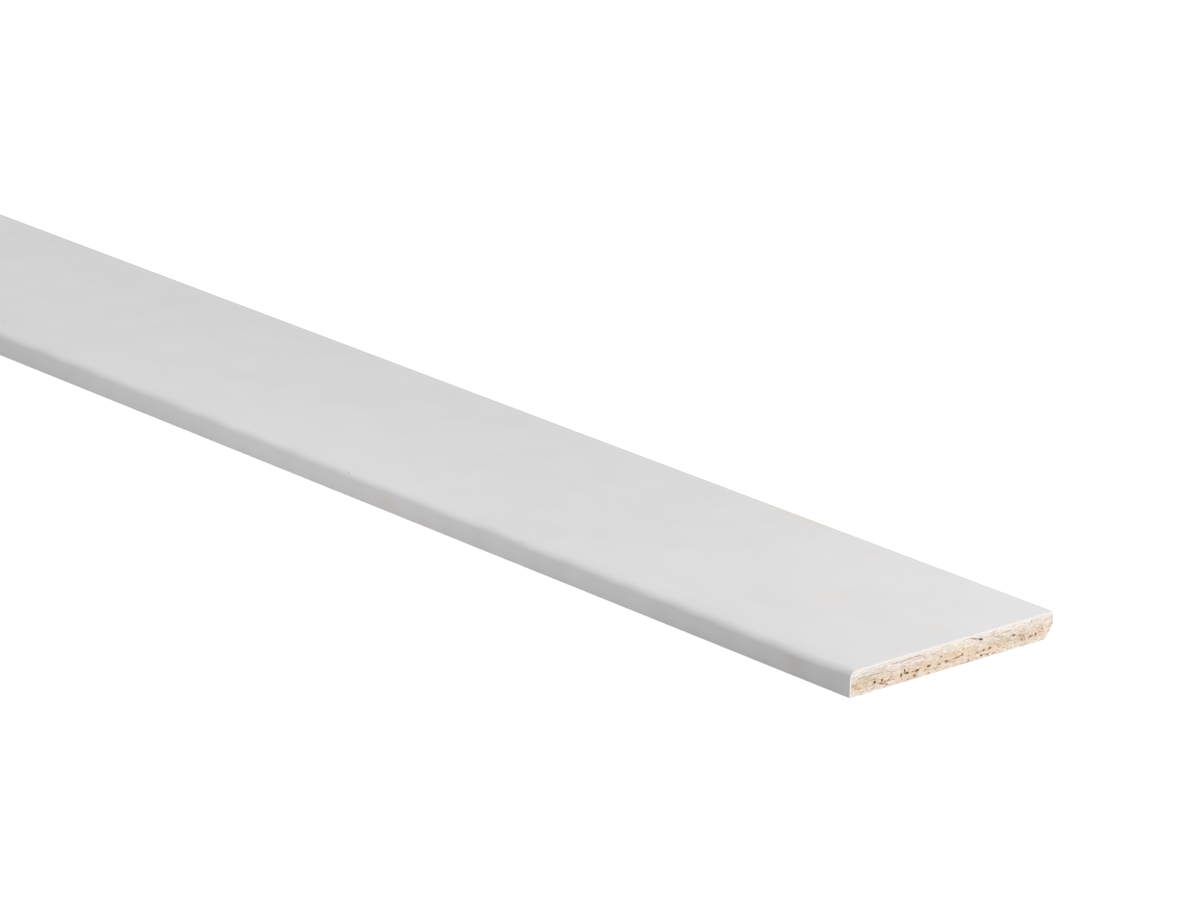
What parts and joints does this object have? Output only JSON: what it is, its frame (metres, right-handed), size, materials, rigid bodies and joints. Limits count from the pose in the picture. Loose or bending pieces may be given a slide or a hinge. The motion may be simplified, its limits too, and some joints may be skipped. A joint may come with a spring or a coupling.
{
  "type": "skirting board",
  "caption": "Flat skirting board with a rounded top edge and a bevel behind its floor edge: a chipboard strip wrapped in white film, to trim the foot of a wall.",
  "frame": {"origin": "on the back face, in the middle of the board's length and width, where the board lies on the floor", "axes": "+X along the length, +Y from the rounded top edge to the floor edge, +Z out of the white face"},
  "size_m": [2.4, 0.09, 0.009],
  "materials": {
    "chipboard": "raw, sawn chipboard",
    "film": "satin white"
  },
  "bodies": {
    "root": {"chipboard_core": "chipboard", "white_film": "film"}
  },
  "joints": []
}
